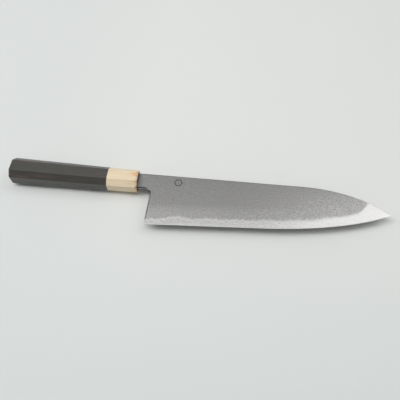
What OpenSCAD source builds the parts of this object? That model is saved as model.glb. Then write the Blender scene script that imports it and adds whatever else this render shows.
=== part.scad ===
// Japanese chef's knife (gyuto): three-layer blade, octagonal wooden handle and a horn ferrule.
// The knife lies on its side: +X runs to the tip, +Y to the spine, +Z up, and the handle's lowest facet
// is on Z = 0. Each sub-part is drawn about the handle's axis, with X = 0 at the ferrule's front face and
// Z = 0 in the middle of the blade's thickness. placed() then moves them all into the lying position.

/* [Blade outline] */
// Length of the cutting edge, from the heel to the tip
edge_len = 245; // [210:1:270]
// Distance from the ferrule's front face to the heel
heel_gap = 13.5; // [12:0.5:20]
// Height of the blade at the heel
heel_height = 57.9; // [50:0.1:64]
// Height of the spine above the handle's axis, at the ferrule
spine_rise = 8.9; // [8:0.1:10]
// Slope of the straight part of the spine, in degrees
spine_slope = 0.61; // [0:0.01:1]
// Share of the edge's length at which the spine starts to drop
spine_bend = 0.642; // [0.55:0.001:0.75]
// Half axis of the spine's elliptic drop along the blade, as a multiple of its length
spine_axis = 1.285; // [1.05:0.005:3]
// Slope of the flat part of the edge, in degrees
edge_slope = 3.74; // [2:0.01:4.5]
// Share of the edge's length at which the belly starts to curve
edge_bend = 0.482; // [0.35:0.001:0.6]
// Half axis of the belly's elliptic rise along the blade, as a multiple of its length
edge_axis = 1.14; // [1.05:0.005:3]
// Distance of the tip below the handle's axis
tip_drop = 13.3; // [8:0.1:20]
// Lean of the heel towards the handle, in degrees
heel_lean = 1.6; // [0:0.1:4]
// Radius where the neck turns into the heel
choil_r = 6.5; // [4:0.1:7]
// Depth of the neck below the handle's axis
neck_drop = 8.2; // [7:0.1:9]

/* [Blade section] */
// Thickness of the spine at the ferrule
neck_t = 4.6; // [4.4:0.1:5]
// Thickness that a straight spine would have above the tip
tip_t = 1.7; // [1.4:0.1:2.2]
// Inward slope of each flat side, from the spine down, in degrees
side_slope = 1.2; // [0.5:0.1:1.4]
// Height of the convex bevel above the edge
bevel_h = 26; // [22:1:32]
// How strongly the bevel bulges: 1 is a plane wedge
bulge = 1.5; // [1.2:0.1:1.8]
// Height of the sharpened edge
apex_h = 0.6; // [0.4:0.1:1]
// Half thickness at the top of the sharpened edge
apex_half = 0.14; // [0.1:0.01:0.2]
// Height of the bare core steel above the edge
core_h = 7.1; // [6:0.1:9]
// Height of the waves in the line where the core leaves the cladding
core_wave = 1.6; // [0:0.1:2]
// Length of the tip that is bare core steel up to the spine
bare_tip = 22.5; // [15:0.5:30]

/* [Tang] */
// Length of the tang inside the handle
tang_len = 95; // [70:1:100]
// Height of the tang at the ferrule's face
tang_h = 10; // [8:0.5:11]
// Thickness of the tang at the ferrule's face
tang_t = 3.8; // [3.4:0.1:3.9]
// Height of the tang at its end
tang_end_h = 6; // [4:0.5:7]
// Thickness of the tang at its end
tang_end_t = 2.8; // [2.6:0.1:3]

/* [Handle] */
// Length of the handle with its ferrule
handle_len = 134.8; // [120:0.1:140]
// Length of the ferrule
ferrule_len = 31.5; // [25:0.5:36]
// Height of the handle at its butt, along Y
butt_w = 24.8; // [23:0.1:27]
// Thickness of the handle at its butt, along Z
butt_t = 22.8; // [21:0.1:25]
// Height of the ferrule at its front face
front_w = 21.6; // [21:0.1:23]
// Thickness of the ferrule at its front face
front_t = 19.1; // [18:0.1:21]
// Share of each half side that a corner facet cuts off
corner_cut = 0.5; // [0.42:0.01:0.56]
// Chamfer round the butt
butt_chamfer = 1.2; // [0.5:0.1:2]
// Chamfer round the ferrule's front face
front_chamfer = 0.7; // [0.4:0.1:1.2]
// Radius of the hidden dowel
dowel_r = 6.8; // [6.4:0.1:7]
// Length of the hidden dowel
dowel_len = 106; // [102:1:110]
// Thickness of the ferrule's front wall, in front of the dowel
mouth_wall = 6; // [4:0.5:8]
// Depth of the resin that seals the ferrule's mouth
seal_depth = 1.6; // [1:0.1:2]
// Width of the ferrule's rim round the seal
seal_rim = 1.6; // [1.2:0.1:3]

/* [Hidden] */
heel_x = heel_gap;
heel_y = spine_rise - heel_height;
tip_x = heel_x + edge_len;
tip_y = -tip_drop;
spine_bend_x = heel_x + edge_len * spine_bend;
edge_bend_x = heel_x + edge_len * edge_bend;
bare_x = tip_x - bare_tip;
lean = tan(heel_lean);
clad_stations = 36;
tip_stations = 10;
choil_points = 10;
bevel_shares = [0.075, 0.2, 0.4, 0.7, 1];
flank_shares = [0.12, 0.3, 0.55, 0.8, 1];
// Length before bare_x over which the core line sweeps up to the spine, and how late it turns up
sweep = 30;
sweep_power = 4.4;
// Growth of the bare core's height from the heel to the tip
core_rise = 2.6;
// Cutting bodies stand this far past what they cut
past = 1;
// More than the blade's height on either side of the axis
across = 70;
CLAD = [0.53, 0.53, 0.52];
CORE = [0.8, 0.8, 0.79];
HORN = [0.86, 0.8, 0.7];
EBONY = [0.27, 0.26, 0.24];

// ---- blade outline ----

// Fall of an elliptic arc below its starting tangent at distance d: it falls by drop at span, and the
// ellipse's half axis along the blade is axis times span
function arc_part(share, axis) = 1 - sqrt(1 - pow(share / axis, 2));
function arc_fall(d, span, drop, axis) = drop * arc_part(max(0, d) / span, axis) / arc_part(1, axis);
function spine_line(x) = spine_rise + tan(spine_slope) * x;
function edge_line(x) = heel_y + tan(edge_slope) * (x - heel_x);
function spine_y(x) =
    spine_line(x) - arc_fall(x - spine_bend_x, tip_x - spine_bend_x, spine_line(tip_x) - tip_y, spine_axis);
function edge_y(x) =
    edge_line(x) + arc_fall(x - edge_bend_x, tip_x - edge_bend_x, tip_y - edge_line(tip_x), edge_axis);
// A station is a straight line across the blade, from the edge at s up to the spine, leaning as the heel does
function foot(s) = [s, edge_y(s)];
function top(s) =
    let (x = min(tip_x, s + lean * (spine_y(s) - edge_y(s))))
    [x, spine_y(x)];
function height(s) = norm(top(s) - foot(s));

// ---- blade section ----

// Half thickness of the flat sides at point p: they close in towards the tip and towards the edge
function flat_half(p) =
    (neck_t - (neck_t - tip_t) * p[0] / tip_x) / 2 - tan(side_slope) * (spine_rise - p[1]);
// Point of station s at height v above the edge
function at(s, v) = foot(s) + (top(s) - foot(s)) * v / height(s);
// Half thickness there: sharpened edge, convex bevel, flat side
function half_t(s, v) =
    let (full = flat_half(at(s, max(v, bevel_h))))
    v < apex_h ? apex_half * v / apex_h
    : v >= bevel_h ? full
    : full - (full - apex_half) * pow((bevel_h - v) / (bevel_h - apex_h), bulge);
// Height of the bare core along the blade: it grows by core_rise to the tip, waves, has a dip at the heel,
// a hump next to it and a broader one in the curved part, and sweeps up to the spine before the bare tip
function bell(u, middle, width) = exp(-pow((u - middle) / width, 2));
function core_waves(u) = core_wave * (0.28 * sin(3000 * u + 45) - 0.25 * sin(360 * u)
    - 1.5 * bell(u, 0, 0.08) + bell(u, 0.115, 0.045) + 0.8 * bell(u, 0.79, 0.06));
function core_line(s) =
    let (u = (s - heel_x) / edge_len, up = pow(max(0, 1 - (bare_x - s) / sweep), sweep_power))
    (core_h + core_rise * u + core_waves(u)) * (1 - up) + height(bare_x) * up;
function core_top(s) = s >= bare_x ? height(s) : core_line(max(s, first_s));
function core_half(s) = half_t(max(s, first_s), core_top(s));
// Points of station s at height v: at half thickness z, and on the blade's outer skin
function inside(s, v, z) = concat(at(s, v), [z]);
function on_skin(s, v) = inside(s, v, half_t(s, v));

// ---- lofted solids ----

// The first ring stands behind the tang's end, and shape_blade() cuts the neck and the tang out of it
back_s = -tang_len - 10;
first_s = heel_x + (bare_x - heel_x) / clad_stations;
clad_s = concat([back_s],
    [for (i = [0 : clad_stations - 1]) first_s + (bare_x - first_s) * i / clad_stations]);
tip_s = [for (i = [0 : tip_stations - 1]) bare_x + bare_tip * i / tip_stations];

// One side of the core's section, from just above the edge to the spine
function core_side(s) =
    let (bevel = min(core_top(s), 0.9 * height(s)))
    concat(
        [for (k = bevel_shares) on_skin(s, bevel * k)],
        [inside(s, height(s), core_half(s))]);
function mirrored(points) = [for (i = [len(points) - 1 : -1 : 0]) [points[i][0], points[i][1], -points[i][2]]];
function core_ring(s) = concat([inside(s, 0, 0)], core_side(s), mirrored(core_side(s)));
// Section of one cladding: its inner corner at the spine, the core line, then up the bevel and the flat
function clad_ring(s) =
    let (low = core_top(s), high = min(bevel_h, low + 0.85 * (height(s) - low)))
    concat(
        [inside(s, height(s), core_half(s)), inside(s, low, core_half(s))],
        [for (k = flank_shares) on_skin(s, low + (high - low) * k)],
        [on_skin(s, height(s))]);
// Solid through rings of points, with a flat first end and a last end drawn in to one point
module loft(rings, end) {
    n = len(rings);
    m = len(rings[0]);
    points = concat([for (ring = rings) each ring], [end]);
    polyhedron(points, concat(
        [for (j = [1 : m - 2]) [0, j + 1, j]],
        [for (i = [0 : n - 2], j = [0 : m - 1])
            let (a = i * m + j, b = i * m + (j + 1) % m)
            each [[a, b, a + m], [b, b + m, a + m]]],
        [for (j = [0 : m - 1]) [(n - 1) * m + j, (n - 1) * m + (j + 1) % m, n * m]]));
}

// ---- neck and tang ----

choil_y = -neck_drop - choil_r;
choil_x = heel_x + lean * (choil_y - heel_y) - choil_r / cos(heel_lean);
tang_end = [[-tang_len, tang_end_h / 2], [-tang_len, -tang_end_h / 2]];
// Outline that leaves the blade whole and cuts out the heel, the choil, the neck and the tang
blade_plan = concat(
    [[tip_x + past, across], [0, across], [0, tang_h / 2]],
    tang_end,
    [[0, -tang_h / 2], [0, -neck_drop]],
    [for (k = [0 : choil_points])
        let (a = 90 - (90 + heel_lean) * k / choil_points)
        [choil_x + choil_r * cos(a), choil_y + choil_r * sin(a)]],
    [[heel_x - lean * (across + heel_y), -across], [tip_x + past, -across]]);
// Half thickness of the tang along X, left open over the blade
tang_taper = [[-tang_len, tang_end_t / 2], [0, tang_t / 2], [0, neck_t], [tip_x + past, neck_t]];
function both_sides(points) =
    concat(points, [for (i = [len(points) - 1 : -1 : 0]) [points[i][0], -points[i][1]]]);

module along_y() {
    rotate([90, 0, 0]) linear_extrude(height = 2 * across, center = true) children();
}
module shape_blade() {
    intersection() {
        children();
        linear_extrude(height = 2 * neck_t, center = true) polygon(blade_plan);
        along_y() polygon(both_sides(tang_taper));
    }
}
// The tang alone, as the handle's parts are cut to fit it
module tang_block() {
    intersection() {
        linear_extrude(height = 2 * neck_t, center = true)
            polygon(concat([[past, tang_h / 2], [0, tang_h / 2]], tang_end,
                [[0, -tang_h / 2], [past, -tang_h / 2]]));
        along_y() polygon(both_sides(tang_taper));
    }
}

// ---- handle ----

corner_angle = atan2(butt_t, butt_w);
function corner_reach(w, t) = (w * (1 - corner_cut) * sin(corner_angle) + t * cos(corner_angle)) / 2;
// Direction of each pair of facets, and their distance from the axis at the butt and at the front face
facet_pairs = [
    [0, butt_t / 2, front_t / 2],
    [90, butt_w / 2, front_w / 2],
    [corner_angle, corner_reach(butt_w, butt_t), corner_reach(front_w, front_t)],
    [-corner_angle, corner_reach(butt_w, butt_t), corner_reach(front_w, front_t)]];
function facet_half(pair, x) = pair[2] - (pair[1] - pair[2]) * x / handle_len;

// Length of the tapered octagon between two X positions, with chamfered ends and all facets moved in by inset
module octagon(back, front, back_chamfer, front_chamfer, inset) {
    intersection_for (pair = facet_pairs) {
        side = [
            [back, facet_half(pair, back) - back_chamfer - inset],
            [back + back_chamfer, facet_half(pair, back + back_chamfer) - inset],
            [front - front_chamfer, facet_half(pair, front - front_chamfer) - inset],
            [front, facet_half(pair, front) - front_chamfer - inset]];
        rotate([-pair[0], 0, 0]) along_y()
            polygon(both_sides(side));
    }
}
module dowel_rod() {
    translate([-mouth_wall, 0, 0]) rotate([0, -90, 0]) cylinder(r = dowel_r, h = dowel_len, $fn = 64);
}
module seal_disc() {
    octagon(-seal_depth, 0, 0, 0, seal_rim);
}

// ---- placing ----

lowest = facet_half(facet_pairs[0], butt_chamfer - handle_len);
widest = facet_half(facet_pairs[1], butt_chamfer - handle_len);
module placed() {
    translate([(handle_len - tip_x) / 2, -(widest + heel_y) / 2, lowest]) children();
}

// ---- sub-parts ----

// Hard steel in the middle of the blade: the cutting edge, the bare tip and the core of the tang
module core_steel() {
    color(CORE) placed() shape_blade()
        loft([for (s = concat(clad_s, tip_s)) core_ring(s)], [tip_x, tip_y, 0]);
}
// Soft steel on one side of the core, from the core line to the spine and back along the tang
module cladding() {
    shape_blade()
        loft([for (s = clad_s) clad_ring(s)], inside(bare_x, height(bare_x), core_half(bare_x)));
}
module right_cladding() {
    color(CLAD) placed() cladding();
}
module left_cladding() {
    color(CLAD) placed() mirror([0, 0, 1]) cladding();
}
// Horn collar: octagon with a blind bore for the dowel, a slot for the tang and a recess for the seal
module ferrule() {
    color(HORN) placed() difference() {
        octagon(-ferrule_len, 0, 0, front_chamfer, 0);
        dowel_rod();
        tang_block();
        seal_disc();
    }
}
// Wooden grip, bored from the front for the dowel
module handle_body() {
    color(EBONY) placed() difference() {
        octagon(-handle_len, -ferrule_len, butt_chamfer, 0, 0);
        dowel_rod();
    }
}
// Softwood rod that joins grip and ferrule and holds the burnt-in tang
module dowel() {
    color([0.76, 0.62, 0.42]) placed() difference() {
        dowel_rod();
        tang_block();
    }
}
// Dark resin that closes the ferrule's mouth round the tang
module mouth_seal() {
    color([0.12, 0.11, 0.1]) placed() difference() {
        seal_disc();
        tang_block();
    }
}

core_steel();
right_cladding();
left_cladding();
ferrule();
handle_body();
dowel();
mouth_seal();
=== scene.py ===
"""A Japanese chef's knife (gyuto) lying on its side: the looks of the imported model.

Lengths inside the shape functions are millimetres in the knife's own axes: X = 0 at the ferrule's front face,
Y = 0 on the handle's axis and Z = 0 in the middle of the blade. to_row() puts them into the model's frame.
"""

import math

import bmesh
import bpy
import numpy as np
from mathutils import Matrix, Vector


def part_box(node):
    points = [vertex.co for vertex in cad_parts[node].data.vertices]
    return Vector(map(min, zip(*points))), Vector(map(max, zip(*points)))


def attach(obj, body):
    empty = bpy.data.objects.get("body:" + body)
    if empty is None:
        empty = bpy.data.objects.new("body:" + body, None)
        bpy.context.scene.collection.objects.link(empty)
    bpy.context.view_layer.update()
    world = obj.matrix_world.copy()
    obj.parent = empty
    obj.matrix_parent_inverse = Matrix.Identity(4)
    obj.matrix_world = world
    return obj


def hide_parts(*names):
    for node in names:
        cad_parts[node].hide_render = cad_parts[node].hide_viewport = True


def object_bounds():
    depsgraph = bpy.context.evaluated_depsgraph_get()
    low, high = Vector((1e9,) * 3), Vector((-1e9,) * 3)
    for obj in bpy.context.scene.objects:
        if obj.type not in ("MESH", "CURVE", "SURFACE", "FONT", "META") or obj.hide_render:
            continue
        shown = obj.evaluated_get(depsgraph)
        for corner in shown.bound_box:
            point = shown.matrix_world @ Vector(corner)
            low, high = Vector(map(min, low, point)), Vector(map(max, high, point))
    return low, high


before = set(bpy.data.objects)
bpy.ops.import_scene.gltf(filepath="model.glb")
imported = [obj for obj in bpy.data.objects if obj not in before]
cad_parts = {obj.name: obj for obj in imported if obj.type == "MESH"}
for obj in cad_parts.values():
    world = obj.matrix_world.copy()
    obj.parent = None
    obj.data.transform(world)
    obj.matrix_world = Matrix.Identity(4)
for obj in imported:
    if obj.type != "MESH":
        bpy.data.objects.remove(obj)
cad_low, cad_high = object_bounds()

MM = 0.001
ferrule_low, ferrule_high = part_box("ferrule")
handle_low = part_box("handle_body")[0]
core_low, core_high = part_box("core_steel")
FRONT_MM = ferrule_high.x / MM
ORIGIN = np.array([ferrule_high.x, (ferrule_low.y + ferrule_high.y) / 2, (core_low.z + core_high.z) / 2])


def to_row(points):
    """Knife axes in millimetres to the model's frame in metres."""
    return np.asarray(points, float) * MM + ORIGIN


# ---------------------------------------------------------------- dimensions, in millimetres

TIP_X = (core_high.x - ORIGIN[0]) / MM
HEEL_Y = (core_low.y - ORIGIN[1]) / MM
EDGE_LEN = 245.0
HEEL_X = TIP_X - EDGE_LEN
TIP_Y = -13.3
SPINE_RISE, SPINE_SLOPE = 8.9, math.tan(math.radians(0.61))
SPINE_BEND, SPINE_AXIS = HEEL_X + 0.642 * EDGE_LEN, 1.285
EDGE_SLOPE = math.tan(math.radians(3.74))
EDGE_BEND, EDGE_AXIS = HEEL_X + 0.482 * EDGE_LEN, 1.14
LEAN = math.tan(math.radians(1.6))
CHOIL_R, NECK_DROP = 6.5, 8.2
NECK_T, TIP_T = 4.6, 1.7
SIDE_SLOPE = math.tan(math.radians(1.2))
BEVEL_H, BULGE = 26.0, 1.5
APEX_H, APEX_HALF = 0.8, 0.075
BARE_X = TIP_X - 22.5
SWEEP, SWEEP_POWER = 30.0, 4.4
CORE_H, CORE_RISE, CORE_WAVE = 7.1, 2.6, 1.6
ROUND = 0.55  # rounding of the spine, the neck and the heel

CHOIL_CY = -NECK_DROP - CHOIL_R
CHOIL_CX = HEEL_X + LEAN * (CHOIL_CY - HEEL_Y) - CHOIL_R * math.hypot(1, LEAN)

HANDLE_LEN = (ORIGIN[0] - handle_low.x) / MM
FERRULE_LEN = (ORIGIN[0] - ferrule_low.x) / MM
BUTT_W, BUTT_T = 24.8, 22.8
FRONT_W, FRONT_T = 21.6, 19.1
CORNER_CUT = 0.5
DOWEL_R, DOWEL_LEN, MOUTH_WALL = 6.8, 106.0, 6.0
SEAL_DEPTH, SEAL_RIM = 1.6, 1.6
TANG_H, TANG_T = 10.0, 3.8


# ---------------------------------------------------------------- blade shape

def arc_fall(d, span, drop, axis):
    """Fall of an elliptic arc below its tangent at distance d: drop at span, with half axis axis * span."""
    share = np.clip(d / span, 0, 1)
    return drop * (1 - np.sqrt(1 - (share / axis) ** 2)) / (1 - math.sqrt(1 - axis ** -2))


def spine_line(x):
    return SPINE_RISE + SPINE_SLOPE * x


def edge_line(x):
    return HEEL_Y + EDGE_SLOPE * (x - HEEL_X)


def spine_y(x):
    return spine_line(x) - arc_fall(x - SPINE_BEND, TIP_X - SPINE_BEND, spine_line(TIP_X) - TIP_Y, SPINE_AXIS)


def edge_y(x):
    return edge_line(x) + arc_fall(x - EDGE_BEND, TIP_X - EDGE_BEND, TIP_Y - edge_line(TIP_X), EDGE_AXIS)


def top_of(s):
    """Upper end, at the spine, of the station that starts at the edge at s."""
    x = np.minimum(TIP_X, s + LEAN * (spine_y(s) - edge_y(s)))
    return x, spine_y(x)


def height(s):
    x, y = top_of(s)
    return np.hypot(x - s, y - edge_y(s))


def plan(s, v):
    """Plan position of the point of station s at height v above the edge."""
    x, y = top_of(s)
    share = v / np.maximum(height(s), 1e-9)
    return s + (x - s) * share, edge_y(s) + (y - edge_y(s)) * share


def flat_half(x, y):
    return (NECK_T - (NECK_T - TIP_T) * x / TIP_X) / 2 - SIDE_SLOPE * (SPINE_RISE - y)


def half_t(s, v):
    """Half thickness of the blade on station s at height v: sharpened edge, convex bevel, flat side."""
    full = flat_half(*plan(s, np.maximum(v, BEVEL_H)))
    left = np.clip((BEVEL_H - v) / (BEVEL_H - APEX_H), 0, 1)
    bevel = full - (full - APEX_HALF) * left ** BULGE
    return np.where(v < APEX_H, APEX_HALF * v / APEX_H, bevel)


# Height above the edge at which the choil's arc begins.
HEEL_TURN = (CHOIL_CY - HEEL_Y) * math.hypot(1, LEAN) - CHOIL_R * LEAN


def ripple(s, seed, waves):
    """Sum of sines with set wavelengths and amplitudes, in millimetres: an uneven but repeatable line."""
    total = np.zeros_like(s, float)
    for k, (length, size) in enumerate(waves):
        total += size * np.sin(2 * math.pi * s / length + 1.7 * seed + 2.4 * k)
    return total


def bell(u, middle, width):
    return np.exp(-((u - middle) / width) ** 2)


def core_line(s, side):
    """Height above the edge at which the bare core ends: as in the CAD, with finer waves on each side."""
    u = (s - HEEL_X) / EDGE_LEN
    waves = CORE_WAVE * (
        0.28 * np.sin(np.radians(3000 * u + 45)) - 0.25 * np.sin(np.radians(360 * u))
        - 1.5 * bell(u, 0, 0.08) + bell(u, 0.115, 0.045) + 0.8 * bell(u, 0.79, 0.06))
    fine = ripple(s, side, [(9.1, 0.32), (5.3, 0.26), (3.1, 0.16), (1.9, 0.08)])
    up = np.clip(1 - (BARE_X - s) / SWEEP, 0, 1) ** SWEEP_POWER
    return (CORE_H + CORE_RISE * u + waves + fine) * (1 - up) + height(np.array(BARE_X)) * up


def core_top(s, side):
    return np.where(s >= BARE_X, height(s), core_line(s, side))


def layer_half(s, side):
    """Half thickness of the hard core where the claddings cover it."""
    return half_t(s, core_top(s, side))


def split(s, side):
    """Height that parts the blade into a lower part and the part that runs on into the neck."""
    return np.maximum(core_top(s, side), HEEL_TURN * height(s) / height(np.array(HEEL_X)))


def void_gap(x, y):
    """Distance from the space behind the heel and under the neck."""
    heel = (x - HEEL_X - LEAN * (y - HEEL_Y)) / math.hypot(1, LEAN)
    neck = y + NECK_DROP
    corner = np.hypot(x - CHOIL_CX, y - CHOIL_CY) - CHOIL_R
    along = (x - CHOIL_CX) * LEAN + (y - CHOIL_CY)
    return np.where(along <= 0, heel, np.where(x <= CHOIL_CX, neck, corner))


def rounded(z, s, x, y, side):
    """Half thickness z less the rounding along the spine, the neck, the choil and the heel."""
    cover = np.where(s < BARE_X, np.abs(z - layer_half(s, side)), 0.1 * (s - BARE_X))
    r = np.minimum(np.minimum(ROUND, 0.6 * z), 0.8 * cover)
    gap = np.clip(np.minimum(spine_y(x) - y, void_gap(x, y)), 0, None)
    inside = np.clip(1 - gap / np.maximum(r, 1e-9), 0, 1)
    return z - r * (1 - np.sqrt(1 - inside ** 2))


# ---------------------------------------------------------------- meshes

# Points closer than this, in metres, are one point. It also joins a few points that should stay apart, where
# the claddings thin to nothing behind the bare tip, so those two meshes are not closed there.
WELD = 2e-7


def make_piece(name, grids, node, attributes=(), smooth_angle=35):
    """Welds grids of points, with attribute values behind each point's coordinates, into one mesh."""
    values = np.concatenate([grid.reshape(-1, grid.shape[-1]) for grid in grids])
    faces, start = [], 0
    for grid in grids:
        n = start + np.arange(grid.shape[0] * grid.shape[1]).reshape(grid.shape[:2])
        faces.append(np.stack([n[:-1, :-1], n[1:, :-1], n[1:, 1:], n[:-1, 1:]], -1).reshape(-1, 4))
        start += n.size
    mesh = bpy.data.meshes.new(name)
    mesh.from_pydata(to_row(values[:, :3]).tolist(), [], np.concatenate(faces).tolist())
    for k, key in enumerate(attributes):
        layer = mesh.attributes.new(key, "FLOAT", "POINT")
        layer.data.foreach_set("value", values[:, 3 + k].astype(np.float32))
    work = bmesh.new()
    work.from_mesh(mesh)
    bmesh.ops.remove_doubles(work, verts=work.verts, dist=WELD)
    loose = [edge for edge in work.edges if not edge.link_faces]
    bmesh.ops.delete(work, geom=loose, context="EDGES")
    bmesh.ops.recalc_face_normals(work, faces=work.faces)
    work.to_mesh(mesh)
    work.free()
    mesh.shade_smooth()
    mesh.set_sharp_from_angle(angle=math.radians(smooth_angle))
    piece = bpy.data.objects.new(name, mesh)
    bpy.context.scene.collection.objects.link(piece)
    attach(piece, "root")
    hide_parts(node)
    return piece


def eased(low, high, n, fine_low=0.0, fine_high=0.0):
    """n equal steps from low to high, with closer ones at an end that gets a rounding of that size."""
    values = list(np.linspace(low, high, n + 1))
    for share in (0.08, 0.3, 0.6, 1.0):
        if fine_low:
            values.append(low + fine_low * share)
        if fine_high:
            values.append(high - fine_high * share)
    return np.array(sorted(values))


def wall(a, b):
    """A strip of faces between two rows of points."""
    return np.stack([a, b])


# ---------------------------------------------------------------- blade pieces

CLAD_COLUMNS = eased(HEEL_X, BARE_X, 440, fine_low=ROUND)
TIP_COLUMNS = np.linspace(BARE_X, TIP_X, 61)[1:]
BAND_ROWS = eased(0, 1, 12, fine_high=0.03)
LOWER_ROWS = eased(0, 1, 16)
UPPER_ROWS = eased(0, 1, 14, fine_low=0.024, fine_high=0.024)
TANG_LEN, TANG_END_H, TANG_END_T = 95.0, 6.0, 2.8
TANG_RISE, TANG_OVER = 40.0, 30.0  # hidden, so only clear of the bevel and of the core's line
BLADE_ATTRIBUTES = ("rise", "over_line", "rim")


def finished(x, y, z, rise, over_line):
    """Points with the values that the steel's materials read."""
    parts = np.broadcast_arrays(x, y, z, rise, over_line, void_gap(x, y))
    return np.stack(parts, -1)


def blade_sheet(s, v, side, z=None):
    """Points of the blade at stations s and heights v: on its skin, or at the half thickness z."""
    x, y = plan(s, v)
    skin = rounded(half_t(s, v), s, x, y, side) if z is None else z
    return finished(x, y, skin, v, v - core_line(s, side))


def neck_sheet(rows, side, covered):
    """The neck, from the heel's column back to the ferrule, and the tang: the skin, or the core's layer."""
    turn = np.linspace(-math.atan(LEAN), math.pi / 2, 21)[1:]
    straight = np.linspace(CHOIL_CX, 0, 9)[1:]
    low_x = np.concatenate([CHOIL_CX + CHOIL_R * np.cos(turn), straight])
    low_y = np.concatenate([CHOIL_CY + CHOIL_R * np.sin(turn), np.full(straight.shape, -NECK_DROP)])
    steps = np.hypot(np.diff(low_x, prepend=HEEL_X + LEAN * HEEL_TURN), np.diff(low_y, prepend=low_y[0]))
    left = 1 - np.cumsum(steps) / np.sum(steps)
    high_x = top_of(np.array(HEEL_X))[0] * left
    x = low_x[:, None] + (high_x - low_x)[:, None] * rows
    y = low_y[:, None] + (spine_y(high_x) - low_y)[:, None] * rows
    heel = np.array(HEEL_X)
    layer = layer_half(heel, side)
    z = np.full(x.shape, layer) if covered else rounded(flat_half(x, y), heel, x, y, side)
    rise = y - edge_line(x)
    neck = finished(x, y, z, rise, rise - CORE_H)
    heel_v = split(heel, side) + (height(heel) - split(heel, side)) * rows
    first = blade_sheet(heel, heel_v, side, np.full(rows.shape, layer) if covered else None)
    tang = [
        finished(at, tall * (rows - 0.5), layer if covered else thick / 2, TANG_RISE, TANG_OVER)
        for at, tall, thick in [(0.0, TANG_H, TANG_T), (-TANG_LEN, TANG_END_H, TANG_END_T)]]
    return np.concatenate([first[None], neck, np.stack(tang)])


def clad_heights(s, side):
    """Heights of a cladding's rows, and the number of the row from which they run on into the neck."""
    low, middle, high = core_top(s, side), split(s, side), height(s)
    lower = low + (middle - low) * LOWER_ROWS[None, :-1]
    upper = middle + (high - middle) * UPPER_ROWS[None, :]
    return np.concatenate([lower, upper], 1), len(LOWER_ROWS) - 1


def mirrored(grid, side):
    """The grid as it is for the right side, 0, and turned over for the left side, 1."""
    turned = grid.copy()
    turned[..., 2] *= 1 - 2 * side
    return turned


def build_cladding(node, side):
    s = CLAD_COLUMNS[:, None]
    v, knee = clad_heights(s, side)
    outer = blade_sheet(s, v, side)
    inner = blade_sheet(s, v, side, layer_half(s, side) + 0 * v)
    outer_neck = neck_sheet(UPPER_ROWS, side, covered=False)
    inner_neck = neck_sheet(UPPER_ROWS, side, covered=True)
    grids = [
        outer, inner, outer_neck, inner_neck,
        wall(outer[:, -1], inner[:, -1]), wall(outer_neck[:, -1], inner_neck[:, -1]),
        wall(outer[0, :knee + 1], inner[0, :knee + 1]),
        wall(outer_neck[:, 0], inner_neck[:, 0]), wall(outer_neck[-1], inner_neck[-1])]
    grids = [mirrored(grid, side) for grid in grids]
    return make_piece(node + "_blade", grids, node, BLADE_ATTRIBUTES)


def core_half(side):
    """One side of the hard core: the bare band with the layer behind the cladding, and the neck's layer."""
    s = np.concatenate([CLAD_COLUMNS, TIP_COLUMNS])[:, None]
    top = core_top(s, side)
    apex = np.minimum(APEX_H, 0.3 * top)
    v = np.concatenate([0 * s, apex + (top - apex) * BAND_ROWS[None, :]], 1)
    band = blade_sheet(s, v, side)
    hidden_v = np.concatenate([split(s, side), height(s)], 1)
    hidden = blade_sheet(s, hidden_v, side, layer_half(s, side) + 0 * hidden_v)
    bare = CLAD_COLUMNS.size - 1
    hidden[bare:] = band[bare:, -1:]
    blade = np.concatenate([band, hidden], 1)
    return mirrored(blade, side), mirrored(neck_sheet(np.array([0.0, 1.0]), side, covered=True), side)


def build_core():
    (right, right_neck), (left, left_neck) = core_half(0), core_half(1)
    grids = [
        right, left, right_neck, left_neck,
        wall(right[:, -1], left[:, -1]), wall(right[0, :-1], left[0, :-1]),
        wall(right_neck[:, -1], left_neck[:, -1]), wall(right_neck[:, 0], left_neck[:, 0]),
        wall(right_neck[-1], left_neck[-1])]
    return make_piece("core_steel_blade", grids, "core_steel", BLADE_ATTRIBUTES)


# ---------------------------------------------------------------- handle pieces

CORNER = math.atan2(BUTT_T, BUTT_W)
ANGLES = np.array([0, CORNER, math.pi / 2, math.pi - CORNER])
ANGLES = np.concatenate([ANGLES, ANGLES + math.pi])
EASE = 0.4  # rounding of the long edges between facets
BUTT_ROUND, FRONT_ROUND, JOINT_ROUND = 1.9, 1.1, 0.12


def reaches(w, t):
    """Distance of each of the eight facets from the axis, for a section w high and t thick."""
    corner = (w * (1 - CORNER_CUT) * math.sin(CORNER) + t * math.cos(CORNER)) / 2
    return np.array([t / 2, corner, w / 2, corner] * 2)


def octagon_ring(x, inset=0.0):
    """Section of the handle at x, with eased corners and facets moved in by inset."""
    share = -x / HANDLE_LEN
    reach = reaches(FRONT_W, FRONT_T) * (1 - share) + reaches(BUTT_W, BUTT_T) * share - inset - EASE
    arcs = []
    for k in range(8):
        pair = [k, (k + 1) % 8]
        normals = np.array([[math.sin(ANGLES[i]), math.cos(ANGLES[i])] for i in pair])
        corner = np.linalg.solve(normals, reach[pair])
        turn = ANGLES[k] + np.linspace(0, 1, 6) * ((ANGLES[pair[1]] - ANGLES[k]) % (2 * math.pi))
        arcs.append(corner + EASE * np.stack([np.sin(turn), np.cos(turn)], -1))
    points = []
    for k in range(8):
        start, end = arcs[k][-1], arcs[(k + 1) % 8][0]
        points += list(arcs[k]) + [start + (end - start) * share for share in (0.06, 0.5, 0.94)]
    return np.array([[x, y, z] for y, z in points])


def circle_ring(x, radius, like):
    """Circle with its points in the same directions from the axis as those of another ring."""
    flat = like[:, 1:] / np.linalg.norm(like[:, 1:], axis=1, keepdims=True)
    return np.column_stack([np.full(len(like), float(x)), radius * flat])


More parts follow.
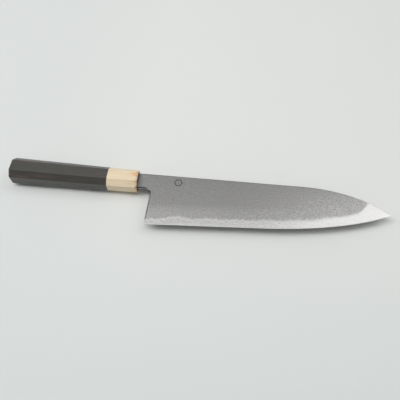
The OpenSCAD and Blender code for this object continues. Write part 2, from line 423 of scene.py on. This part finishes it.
def slot_ring(x, like):
    """Outline of the tang's slot, with its points in the same directions as those of another ring."""
    flat = like[:, 1:]
    scale = np.minimum(TANG_H / 2 / np.maximum(np.abs(flat[:, 0]), 1e-9),
                       TANG_T / 2 / np.maximum(np.abs(flat[:, 1]), 1e-9))
    flat = flat * scale[:, None]
    for corner in [(a * TANG_H / 2, b * TANG_T / 2) for a in (-1, 1) for b in (-1, 1)]:
        flat[np.argmin(np.linalg.norm(flat - corner, axis=1))] = corner
    return np.column_stack([np.full(len(like), float(x)), flat])


def centre_ring(x, like):
    return np.column_stack([np.full(len(like), float(x)), np.zeros((len(like), 2))])


def end_rounding(x, inward, radius):
    """Rings that round the edge of an end face at x; inward is the direction along X into the piece."""
    rings = []
    for turn in np.linspace(0, math.pi / 2, 7):
        rings.append(octagon_ring(x + inward * radius * (1 - math.sin(turn)), radius * (1 - math.cos(turn))))
    return rings


def closed_rings(rings):
    rings = np.stack(rings)
    return np.concatenate([rings, rings[:, :1]], 1)


def build_handle():
    back, front = -HANDLE_LEN, -FERRULE_LEN
    side = [octagon_ring(x) for x in np.linspace(back + 1.5 * BUTT_ROUND, front - 2 * JOINT_ROUND, 24)]
    butt = end_rounding(back, 1, BUTT_ROUND)
    joint = end_rounding(front, -1, JOINT_ROUND)
    rings = [centre_ring(back, side[0]), octagon_ring(back, 5.0), octagon_ring(back, BUTT_ROUND * 1.15)]
    rings += butt[::-1] + side + joint
    bore_end = -MOUTH_WALL - DOWEL_LEN
    rings += [circle_ring(front, DOWEL_R, side[0]), circle_ring(bore_end, DOWEL_R, side[0])]
    rings.append(centre_ring(bore_end, side[0]))
    return make_piece("handle_grip", [closed_rings(rings)], "handle_body", smooth_angle=30)


def build_ferrule():
    back = -FERRULE_LEN
    side = [octagon_ring(x) for x in np.linspace(back + 2 * JOINT_ROUND, -1.5 * FRONT_ROUND, 12)]
    rim = octagon_ring(0, SEAL_RIM)
    seat = np.column_stack([np.full(len(rim), -SEAL_DEPTH), rim[:, 1:]])
    rings = end_rounding(back, 1, JOINT_ROUND)[::-1] + side + end_rounding(0, -1, FRONT_ROUND)
    rings += [rim, seat, slot_ring(-SEAL_DEPTH, rim), slot_ring(-MOUTH_WALL, rim)]
    rings += [circle_ring(-MOUTH_WALL, DOWEL_R, rim), circle_ring(back, DOWEL_R, rim), rings[0]]
    return make_piece("ferrule_collar", [closed_rings(rings)], "ferrule", smooth_angle=30)


# ---------------------------------------------------------------- material nodes

class Nodes:
    """Short names for building one material's node tree; all lengths inside are millimetres."""

    def __init__(self, name):
        self.material = bpy.data.materials.new(name)
        self.material.use_nodes = True
        self.tree = self.material.node_tree
        self.shader = self.tree.nodes["Principled BSDF"]

    def add(self, kind, inputs, output=0, **settings):
        node = self.tree.nodes.new("ShaderNode" + kind)
        for key, value in settings.items():
            setattr(node, key, value)
        for key, value in inputs.items():
            if isinstance(value, bpy.types.NodeSocket):
                self.tree.links.new(value, node.inputs[key])
            else:
                node.inputs[key].default_value = value
        return node.outputs[output]

    def place(self, stretch=(1, 1, 1)):
        """Position in the model's frame in millimetres, divided by stretch along each axis."""
        position = self.add("TexCoord", {}, "Object")
        return self.add("Mapping", {"Vector": position, "Scale": [1 / MM / k for k in stretch]})

    def along(self, axis):
        """Position in millimetres along one axis of the model's frame: 0, 1 or 2 for X, Y or Z."""
        return self.add("SeparateXYZ", {"Vector": self.place()}, axis)

    def value(self, key):
        return self.add("Attribute", {}, "Fac", attribute_name=key)

    def noise(self, place, size, detail=2.0, roughness=0.5, distortion=0.0):
        """Noise from 0 to 1 with spots of about size millimetres."""
        return self.add("TexNoise", {"Vector": place, "Scale": 1 / size, "Detail": detail,
                                     "Roughness": roughness, "Distortion": distortion})

    def map(self, value, low, high, to_low=0.0, to_high=1.0, smooth=False):
        kind = "SMOOTHSTEP" if smooth else "LINEAR"
        return self.add("MapRange", {"Value": value, "From Min": low, "From Max": high,
                                     "To Min": to_low, "To Max": to_high}, interpolation_type=kind)

    def spread(self, noise, to_low=0.0, to_high=1.0):
        """A noise's usual range, 0.3 to 0.7, drawn out to the given one."""
        return self.map(noise, 0.3, 0.7, to_low, to_high)

    def math(self, operation, a, b=0.0):
        return self.add("Math", {0: a, 1: b}, operation=operation)

    def mix(self, share, a, b, blend="MIX"):
        inputs = {0: share, 6: colour(a), 7: colour(b)}
        return self.add("Mix", inputs, 2, data_type="RGBA", blend_type=blend)

    def bump(self, height, depth, normal=None):
        """Bump of the given depth in millimetres for a height from 0 to 1."""
        inputs = {"Height": height, "Distance": depth * MM}
        if normal is not None:
            inputs["Normal"] = normal
        return self.add("Bump", inputs)

    def finish(self, **sockets):
        names = {"base": "Base Color", "ior": "IOR", "specular": "Specular IOR Level"}
        for key, value in sockets.items():
            socket = self.shader.inputs[names.get(key, key.capitalize())]
            if isinstance(value, bpy.types.NodeSocket):
                self.tree.links.new(value, socket)
            else:
                socket.default_value = colour(value)
        return self.material


def colour(value):
    """Three numbers as a colour with alpha; anything else as it is."""
    return (*value, 1.0) if isinstance(value, tuple) and len(value) == 3 else value


def grey(level, warmth=0.0):
    """A grey, a little warmer for a positive warmth."""
    return (level * (1 + warmth), level, level * (1 - warmth))


def dress(piece, material):
    piece.data.materials.clear()
    piece.data.materials.append(material)


# ---------------------------------------------------------------- materials

MARK_X, MARK_Y, MARK_R = 42.0, 1.6, 3.4  # plain etched mark on the right side, in the knife's axes
MARK_LINE = (0.25, 0.75)  # distances from the middle of its line at which that starts and ends to fade


def etched_mark(n):
    """Where a plain mark is etched near the neck: a hexagon ring round a dot."""
    parts = [n.along(k) for k in range(3)]
    centre = to_row([MARK_X, MARK_Y, 0]) / MM
    across, up = [n.math("ABSOLUTE", n.math("SUBTRACT", parts[k], float(centre[k]))) for k in (0, 1)]
    slant = n.math("ADD", n.math("MULTIPLY", across, math.sqrt(3) / 2), n.math("MULTIPLY", up, 0.5))
    hexagon = n.math("MAXIMUM", slant, up)
    ring = n.math("ABSOLUTE", n.math("SUBTRACT", hexagon, MARK_R))
    nearest = n.math("MINIMUM", ring, hexagon)
    right_side = n.map(parts[2], float(centre[2]), float(centre[2]) + 0.5)
    return n.math("MULTIPLY", n.map(nearest, *MARK_LINE, 1, 0, True), right_side)


def cladding_material():
    """Soft steel, blasted to a pear skin: paler on the bevel and next to the bare core, with a painted sheen
    that makes it paler towards the tip and a painted dark line of shade along the heel, choil and neck edges.
    """
    n = Nodes("cladding_pear_skin")
    place = n.place()
    rise, over, rim = n.value("rise"), n.value("over_line"), n.value("rim")
    # Painted sheen: the cladding is made paler towards the tip, less so towards the spine, in place of the
    # brighter reflection of the light there; the speckle grows stronger with it.
    painted_tip_sheen = n.map(n.along(0), 30, 165, 0, 0.7, True)
    painted_tip_sheen = n.math("MULTIPLY", painted_tip_sheen, n.map(rise, 24, 42, 1, 0.5))
    wander = n.noise(n.place((30, 8, 8)), 1.0, 2)
    bevel = n.map(n.math("ADD", rise, n.map(wander, 0, 1, -2, 2)), 18.5, 23.5, 1, 0, smooth=True)
    base = n.mix(bevel, grey(0.268, 0.012), grey(0.288, 0.012))
    base = n.mix(painted_tip_sheen, base, grey(0.42, 0.012))
    speck = n.noise(place, 1.4, 3, 0.75)
    speckled = n.mix(1.0, base, n.mix(n.spread(speck), grey(0.70), grey(1.30)), "MULTIPLY")
    strength = n.math("MAXIMUM", n.map(bevel, 0, 1, 0.65, 0.9), n.map(painted_tip_sheen, 0, 0.4, 0.5, 1))
    base = n.mix(strength, base, speckled)
    cloud = n.noise(n.place((14, 5, 5)), 1.0, 3, 0.6)
    hazed = n.math("ADD", over, n.map(cloud, 0, 1, -0.8, 0.8))
    base = n.mix(n.map(hazed, 0.0, 2.0, 0.45, 0, True), base, grey(0.55, 0.01))
    # Painted shade: a near-black line along the rounded heel, choil and neck edges, in place of the dark
    # reflection those edges show, broken up by noise.
    edge_shade_breakup = n.map(n.noise(place, 2.2, 2), 0.35, 0.6, 0.35, 1.0)
    edge = n.map(rim, 0.55, 1.25, 1, 0, True)
    base = n.mix(n.math("MULTIPLY", edge, edge_shade_breakup), base, grey(0.03))
    base = n.mix(n.math("MULTIPLY", etched_mark(n), 0.8), base, grey(0.03))
    pits = n.noise(place, 0.75, 3, 0.55)
    waves = n.noise(place, 3.2, 2, 0.5)
    relief = n.bump(pits, 0.035, n.bump(waves, 0.10))
    roughness = n.spread(speck, 0.48, 0.38)
    return n.finish(base=base, metallic=1.0, roughness=roughness, normal=relief)


def core_material():
    """Polished hard steel: fine scratches along the blade, misty towards the cladding."""
    n = Nodes("core_polished")
    over = n.value("over_line")
    scratch = n.noise(n.place((14, 0.22, 0.22)), 1.0, 3, 0.6)
    cloud = n.noise(n.place((9, 3, 3)), 1.0, 3, 0.6)
    mist = n.map(n.math("ADD", over, n.map(cloud, 0, 1, -0.8, 0.8)), -3.0, 0.3, 0, 1, True)
    base = n.mix(mist, grey(0.53, 0.008), grey(0.48, 0.01))
    roughness = n.math("ADD", n.spread(scratch, 0.24, 0.28), n.math("MULTIPLY", mist, 0.05))
    relief = n.bump(scratch, 0.001)
    return n.finish(base=base, metallic=1.0, roughness=roughness, normal=relief)


def ebony_material():
    """Oiled ebony: nearly black, with a fine grain along the handle and faint red-brown streaks."""
    n = Nodes("ebony_oiled")
    grain = n.noise(n.place((26, 0.35, 0.35)), 1.0, 3, 0.6)
    streak = n.noise(n.place((42, 2.4, 2.4)), 1.0, 3, 0.55, 0.3)
    pores = n.noise(n.place((3.4, 0.16, 0.16)), 1.0, 2)
    base = n.mix(n.spread(grain), (0.034, 0.0325, 0.027), (0.050, 0.0485, 0.042))
    base = n.mix(n.map(streak, 0.52, 0.74, 0, 0.8, True), base, (0.105, 0.062, 0.055))
    base = n.mix(n.map(pores, 0.64, 0.72, 0, 0.5), base, grey(0.015))
    roughness = n.spread(grain, 0.28, 0.38)
    relief = n.bump(pores, 0.02, n.bump(grain, 0.012))
    return n.finish(base=base, roughness=roughness, ior=1.62, normal=relief)


def horn_material():
    """Polished blond horn: cream with lengthwise streaks, amber towards the front and stained at its end."""
    n = Nodes("horn_blond")
    fibre = n.noise(n.place((20, 0.7, 0.7)), 1.0, 3, 0.55, 0.2)
    band = n.noise(n.place((34, 3.2, 3.2)), 1.0, 2, 0.5, 0.4)
    base = n.mix(n.spread(fibre), (0.71, 0.565, 0.386), (0.806, 0.69, 0.512))
    base = n.mix(n.map(band, 0.5, 0.72, 0, 0.7, True), base, (0.66, 0.455, 0.26))
    front = n.map(n.along(0), FRONT_MM - 3.5, FRONT_MM, 0, 1, True)
    stain = n.map(n.noise(n.place((5, 2.5, 2.5)), 1.0, 2), 0.45, 0.65, 0.15, 0.9, True)
    base = n.mix(n.math("MULTIPLY", front, stain), base, (0.42, 0.22, 0.09))
    amber = n.map(n.noise(n.place((14, 1.8, 1.8)), 1.0, 2), 0.5, 0.66, 0, 0.8, True)
    reach = n.map(n.along(0), FRONT_MM - 12, FRONT_MM - 3, 0, 1, True)
    base = n.mix(n.math("MULTIPLY", amber, reach), base, (0.70, 0.36, 0.13))
    roughness = n.spread(fibre, 0.28, 0.38)
    relief = n.bump(fibre, 0.01)
    return n.finish(base=base, roughness=roughness, specular=0.5, normal=relief)


def softwood_material():
    """Raw softwood of the hidden dowel: pale early wood and darker late wood along the rod."""
    n = Nodes("softwood_raw")
    ring = n.noise(n.place((60, 1.1, 1.1)), 1.0, 2, 0.5, 0.4)
    fibre = n.noise(n.place((9, 0.2, 0.2)), 1.0, 2)
    base = n.mix(n.map(ring, 0.35, 0.65, 0, 1, True), (0.62, 0.44, 0.24), (0.42, 0.25, 0.11))
    base = n.mix(n.spread(fibre, 0, 0.3), base, (0.72, 0.56, 0.34))
    return n.finish(base=base, roughness=n.spread(fibre, 0.7, 0.85), normal=n.bump(fibre, 0.05))


def resin_material():
    """Black resin poured into the ferrule's mouth: glossy with faint flow marks."""
    n = Nodes("resin_black")
    flow = n.noise(n.place((2, 4, 2)), 1.0, 2)
    base = n.mix(flow, grey(0.008), grey(0.02))
    return n.finish(base=base, roughness=n.spread(flow, 0.3, 0.5), normal=n.bump(flow, 0.08))


FLOOR_FALLOFF_SHADE = (0.643, 0.672, 0.662)  # painted light falloff: the card's colour darkened towards the front and the left


def floor_material():
    """Matt pale card with a faint tooth, with a painted light falloff that darkens it a little towards the
    front and the left.
    """
    n = Nodes("floor_card")
    tooth = n.noise(n.place(), 1.5, 3)
    patch = n.noise(n.place(), 120, 2)
    base = n.mix(patch, (0.712, 0.722, 0.704), (0.728, 0.738, 0.720))
    # Painted light falloff: the card is darkened towards the front and the left.
    base = n.mix(n.map(n.along(1), 20, -190), base, FLOOR_FALLOFF_SHADE)
    base = n.mix(n.map(n.along(0), -60, -190, 0, 0.5), base, FLOOR_FALLOFF_SHADE)
    return n.finish(base=base, roughness=0.8, specular=0.2, normal=n.bump(tooth, 0.02))


# ---------------------------------------------------------------- stage, light and camera

def build_floor():
    """A pale card under the knife, far wider than the view."""
    half, z = 4.0, cad_low.z
    mesh = bpy.data.meshes.new("floor")
    corners = [(-half, -half, z), (half, -half, z), (half, half, z), (-half, half, z)]
    mesh.from_pydata(corners, [], [(0, 1, 2, 3)])
    floor = bpy.data.objects.new("floor", mesh)
    bpy.context.scene.collection.objects.link(floor)
    dress(floor, floor_material())


def look_at(thing, place, target):
    thing.location = place
    thing.rotation_mode = "QUATERNION"
    thing.rotation_quaternion = (Vector(target) - Vector(place)).to_track_quat("-Z", "Y")


ROOM = 0.45  # radiance of the room's walls
ROOM_FADE = (0.35, 0.75)  # sines of the elevations at which the walls start and end to fade
PANELS = [  # name, place and width and depth in metres, radiance
    ("overhead", (0.0, -0.15, 2.4), 1.4, 1.2, 3.9),
    ("left", (-1.6, 0.0, 2.2), 1.0, 1.6, 6.4),
    ("front", (0.0, -1.6, 2.2), 1.8, 0.9, 0.85),
    ("back_left", (-1.0, 1.6, 2.4), 1.4, 1.6, 0.72),
    ("back_middle", (-0.05, 1.4, 2.4), 0.7, 1.5, 0.65),
    ("back_right", (0.55, 1.4, 2.4), 0.5, 1.5, 0.58),
    ("right_near", (1.1, 1.3, 2.4), 0.6, 1.5, 1.85),
    ("right_far", (2.1, 1.1, 2.4), 0.8, 1.5, 3.1)]


def add_panel(name, place, width, depth, radiance):
    """A soft panel light that faces the knife."""
    light = bpy.data.lights.new(name, "AREA")
    light.shape = "RECTANGLE"
    light.size, light.size_y = width, depth
    light.energy = math.pi * width * depth * radiance
    lamp = bpy.data.objects.new(name, light)
    bpy.context.scene.collection.objects.link(lamp)
    look_at(lamp, place, (0.0, 0.0, 0.0))


def set_room():
    """Pale walls round the horizon that fade to nothing overhead, where the panels hang."""
    world = bpy.data.worlds.new("room")
    world.use_nodes = True
    tree = world.node_tree
    direction = tree.nodes.new("ShaderNodeTexCoord").outputs["Generated"]
    parts = tree.nodes.new("ShaderNodeSeparateXYZ")
    fade = tree.nodes.new("ShaderNodeMapRange")
    for key, value in zip(("From Min", "From Max", "To Min", "To Max"), (*ROOM_FADE, ROOM, 0.0)):
        fade.inputs[key].default_value = value
    tree.links.new(direction, parts.inputs[0])
    tree.links.new(parts.outputs["Z"], fade.inputs["Value"])
    tree.links.new(fade.outputs[0], tree.nodes["Background"].inputs["Strength"])
    tree.nodes["Background"].inputs["Color"].default_value = (0.97, 1.0, 0.99, 1.0)
    bpy.context.scene.world = world


def set_light():
    """Soft panels above and all round the knife, brightest overhead, left and far right, in a pale room."""
    set_room()
    bpy.context.scene.view_settings.view_transform = "Standard"
    for panel in PANELS:
        add_panel(*panel)


AZIMUTH, ELEVATION = math.radians(6.053), math.radians(59.711)  # of the camera, seen from its target
DISTANCE, TARGET = 455.41, np.array([66.384, -15.571, 0.0])  # millimetres, in the knife's own axes
SENSOR_WIDTH, LENS = 36.0, 40.06


def set_camera():
    """Looks down at about 60 degrees, from a little to the right."""
    back = np.array([math.sin(AZIMUTH) * math.cos(ELEVATION), -math.cos(AZIMUTH) * math.cos(ELEVATION),
                     math.sin(ELEVATION)])
    data = bpy.data.cameras.new("camera")
    data.sensor_width, data.lens = SENSOR_WIDTH, LENS
    data.clip_start, data.clip_end = 0.01, 20.0
    camera = bpy.data.objects.new("camera", data)
    bpy.context.scene.collection.objects.link(camera)
    look_at(camera, to_row(TARGET + DISTANCE * back), to_row(TARGET))
    bpy.context.scene.camera = camera


# ---------------------------------------------------------------- build

cladding = cladding_material()
for side, node in enumerate(("right_cladding", "left_cladding")):
    dress(build_cladding(node, side), cladding)
dress(build_core(), core_material())
dress(build_handle(), ebony_material())
dress(build_ferrule(), horn_material())
dress(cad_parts["dowel"], softwood_material())
dress(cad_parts["mouth_seal"], resin_material())
build_floor()
set_light()
set_camera()
